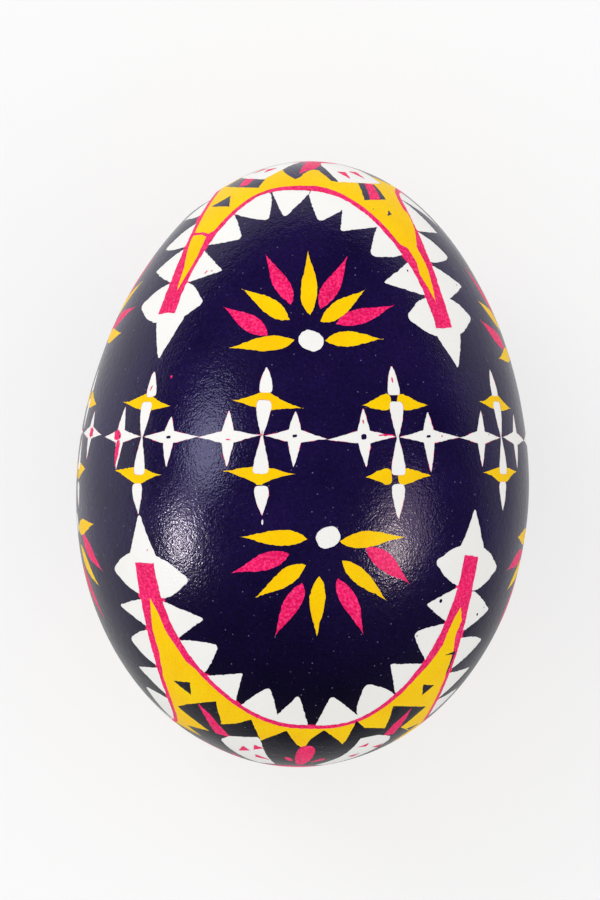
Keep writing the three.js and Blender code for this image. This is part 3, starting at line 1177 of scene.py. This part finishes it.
def membrane():
    m = Material("membrane")
    fibres = m.ramp(m.noise(2.6, 4.0, 0.7), (0.35, (0.72, 0.64, 0.5)), (0.65, (0.86, 0.8, 0.69)))
    roughness = m.ramp(m.noise(1.4, 2.0), (0.3, 0.6), (0.7, 0.8))
    return m.finish(fibres, roughness, 1.0, 0.3)


materials = {
    "dark": ("dark_dye", dark_dye()),
    "yellow": ("yellow_dye", yellow_dye()),
    "pink": ("pink_dye", pink_dye()),
}
SHELL_MATERIAL = bare_shell()
MEMBRANE_MATERIAL = membrane()

# ---- the pieces ----------------------------------------------------------------------------------

for index, piece_name in enumerate(piece_names):
    chosen = triangles[owner == index]
    if piece_name is None or len(chosen) == 0:
        continue
    dye_slot, dye_material = materials[piece_name.split("_")[0]]
    add_film(piece_name, chosen, dye_material)

shell = add_skin(
    "bare_shell",
    skin_rows(0.0, POINTED_HOLE, BLUNT_HOLE, ragged=0.1, rows=170, seed=11),
    skin_rows(SHELL_WALL, POINTED_HOLE, BLUNT_HOLE, ragged=0.1, rows=90, seed=11),
    SHELL_MATERIAL,
)
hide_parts("shell")

outer_depth = SHELL_WALL + GAP
inner_depth = outer_depth + MEMBRANE_WALL + GAP
torn_holes = (POINTED_HOLE + TEAR, BLUNT_HOLE + TEAR)
outer_membrane = add_skin(
    "outer_membrane_skin",
    skin_rows(outer_depth, *torn_holes, RAGGED, rows=60, seed=21),
    skin_rows(outer_depth + MEMBRANE_WALL, *torn_holes, RAGGED, rows=60, seed=21),
    MEMBRANE_MATERIAL,
)
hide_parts("outer_membrane")


def inner_membrane_rows(depth):
    """The lining as far as the air cell's rim, and then across under the blunt end to the torn hole."""
    points, normals = skin_rows(depth, POINTED_HOLE + TEAR, AIR_CELL_RADIUS, ragged=0.05, rows=56, seed=31)
    edge = points[-1]
    share = np.linspace(0, 1, 9)[1:, None, None]
    longitude = np.linspace(0, 2 * np.pi, SKIN_ROUND, endpoint=False)
    torn = (BLUNT_HOLE + TEAR + wander(longitude, RAGGED, seed=33)) / np.hypot(edge[:, 0], edge[:, 2] - BELLY)
    scale = 1 - (1 - torn)[None, :, None] * share
    crossing = np.repeat(edge[None], len(share), axis=0)
    crossing[..., 0:1] *= scale
    crossing[..., 2:3] = BELLY + (crossing[..., 2:3] - BELLY) * scale
    crossing[..., 1:2] -= AIR_CELL_BULGE * (1 - scale**2)
    flat = np.broadcast_to(np.array([0.0, -1.0, 0.0]), crossing.shape)
    return np.concatenate([points, crossing]), np.concatenate([normals, flat])


inner_membrane = add_skin(
    "inner_membrane_skin",
    inner_membrane_rows(inner_depth),
    inner_membrane_rows(inner_depth + MEMBRANE_WALL),
    MEMBRANE_MATERIAL,
)
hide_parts("inner_membrane")

# ---- floor, light and camera ---------------------------------------------------------------------


PAPER_RADIUS = 3.0  # this one and the next in metres
PAPER_DROP = 0.0001  # how far below the egg the paper lies
PAPER_GLOW = 0.57  # light of the paper's own, which makes it nearly white


def add_floor():
    """Pale paper, which the gloss sees paler to the upper left, where lamps would stand, than elsewhere."""
    turns = np.linspace(0, 2 * np.pi, 96, endpoint=False)
    rim = [(PAPER_RADIUS * math.cos(turn), PAPER_RADIUS * math.sin(turn), -PAPER_DROP) for turn in turns]
    mesh = bpy.data.meshes.new("floor")
    mesh.from_pydata(rim, [], [list(range(len(rim)))])
    material = bpy.data.materials.new("floor_paper")
    nodes = Nodes(material)
    look = {
        "Base Color": (0.4, 0.4, 0.4, 1),
        "Emission Color": (1, 1, 1, 1),
        "Emission Strength": PAPER_GLOW,
        "Roughness": 0.9,
        "Specular IOR Level": 0.1,
    }
    paper = nodes.add("ShaderNodeBsdfPrincipled", look)
    place = nodes.add("ShaderNodeTexCoord").outputs["Object"]
    split = nodes.add("ShaderNodeSeparateXYZ", {0: place})
    towards = {0: split.outputs["X"], 1: -0.5, 2: split.outputs["Y"]}
    upper_left = nodes.add("ShaderNodeMath", towards, operation="MULTIPLY_ADD")
    fade = {"From Min": -0.12, "From Max": 0.06, "To Min": 0.1, "To Max": 0.88}
    brightness = nodes.add("ShaderNodeMapRange", {"Value": upper_left.outputs[0], **fade})
    mirrored = nodes.add("ShaderNodeEmission", {"Strength": brightness.outputs["Result"]})
    either = {0: nodes.glossy_ray(), 1: paper.outputs[0], 2: mirrored.outputs[0]}
    seen = nodes.add("ShaderNodeMixShader", either)
    nodes.add("ShaderNodeOutputMaterial", {"Surface": seen.outputs[0]})
    mesh.materials.append(material)
    floor = bpy.data.objects.new("floor", mesh)
    bpy.context.scene.collection.objects.link(floor)


def add_world():
    """An even pale studio for what is lit. The gloss sees it nearly black, and darkest overhead."""
    world = bpy.data.worlds.new("studio")
    bpy.context.scene.world = world
    nodes = Nodes(world)
    world.cycles.sampling_method = "NONE"
    way = nodes.add("ShaderNodeTexCoord").outputs["Generated"]
    upward = nodes.add("ShaderNodeSeparateXYZ", {0: way}).outputs["Z"]
    mirrored = nodes.ramp(upward, (0.0, (0.05, 0.05, 0.055)), (0.35, (0.035, 0.035, 0.04)))
    colour = nodes.mix(nodes.glossy_ray(), (0.9, 0.905, 0.91), mirrored)
    background = nodes.add("ShaderNodeBackground", {"Color": colour})
    nodes.add("ShaderNodeOutputWorld", {"Surface": background.outputs[0]})


LAMP_DISTANCE = 1.0  # in metres


def add_lamp(name, way, size, power, tint=(1.0, 1.0, 1.0)):
    lamp = bpy.data.lights.new(name, "AREA")
    lamp.shape = "DISK"
    lamp.size = size
    lamp.energy = power
    lamp.color = tint
    holder = bpy.data.objects.new(name, lamp)
    bpy.context.scene.collection.objects.link(holder)
    holder.location = Vector((0, 0, BELLY * MM)) + way.normalized() * LAMP_DISTANCE
    holder.rotation_mode = "QUATERNION"
    holder.rotation_quaternion = way.to_track_quat("Z", "Y")
    holder.visible_camera = False
    return holder


def add_glint(name, longitude, height, size, power, tint):
    """A soft box that only the gloss sees, mirrored for the camera overhead at a place on the egg."""
    _, normal = surface(np.radians([longitude]), np.atleast_1d(angle_at(height)))
    normal = Vector(normal[0])
    way = 2 * normal.z * normal - Vector((0, 0, 1))
    holder = add_lamp(name, way, size, power, tint)
    holder.visible_diffuse = False


def add_key():
    """A broad soft light from the upper left, which gives the soft shadow on the other side."""
    way = Vector((-0.62, 0.62, 0.8))
    holder = add_lamp("key", way, size=0.5, power=1.8)
    holder.visible_glossy = False


# How the egg lies in the view. The view's directions are turned from the egg's by its roll.
VIEW_LENGTH = 86.2069  # from the view's upper edge to its lower one, at the height of the egg's axis
VIEW_ROLL = 2.43  # in degrees
AIM_LEFT = 0.335  # how far the view's middle lies to the left of the egg's, and above it
AIM_UP = 1.34
CAMERA_DISTANCE = 0.6  # in metres, from the egg's axis
SENSOR = 36.0


def add_camera():
    """Straight overhead, turned a little, as the egg lies a little askew in the view."""
    camera = bpy.data.cameras.new("camera")
    camera.sensor_width = SENSOR
    camera.lens = SENSOR * CAMERA_DISTANCE / (VIEW_LENGTH * MM)
    camera.clip_start = 0.01
    camera.clip_end = 10
    holder = bpy.data.objects.new("camera", camera)
    bpy.context.scene.collection.objects.link(holder)
    roll = math.radians(VIEW_ROLL)
    right = Vector((math.cos(roll), math.sin(roll), 0))
    up = Vector((-math.sin(roll), math.cos(roll), 0))
    aim = Vector((0, 0, BELLY * MM)) - right * AIM_LEFT * MM + up * AIM_UP * MM
    holder.location = aim + Vector((0, 0, CAMERA_DISTANCE))
    holder.rotation_euler = (0, 0, roll)
    bpy.context.scene.camera = holder


# Each glint's name, its longitude and height on the egg, and its box's size in metres, power and tint.
GLINTS = [
    ("left_glint", -31.9, -10.5, 0.1, 2.6, (1.0, 0.92, 0.98)),
    ("left_halo", -31.0, -9.2, 0.38, 1.3, (0.7, 0.6, 1.0)),
    ("right_glint", 24.2, -10.8, 0.17, 2.2, (1.0, 0.84, 0.78)),
    ("right_halo", 26.0, -8.0, 0.5, 1.7, (0.95, 0.74, 1.0)),
    ("upper_glint", -25.0, -1.4, 0.42, 3.1, (0.7, 0.7, 1.0)),
]

add_floor()
add_world()
add_key()
for glint in GLINTS:
    add_glint(*glint)
add_camera()
bpy.context.scene.view_settings.view_transform = "Standard"
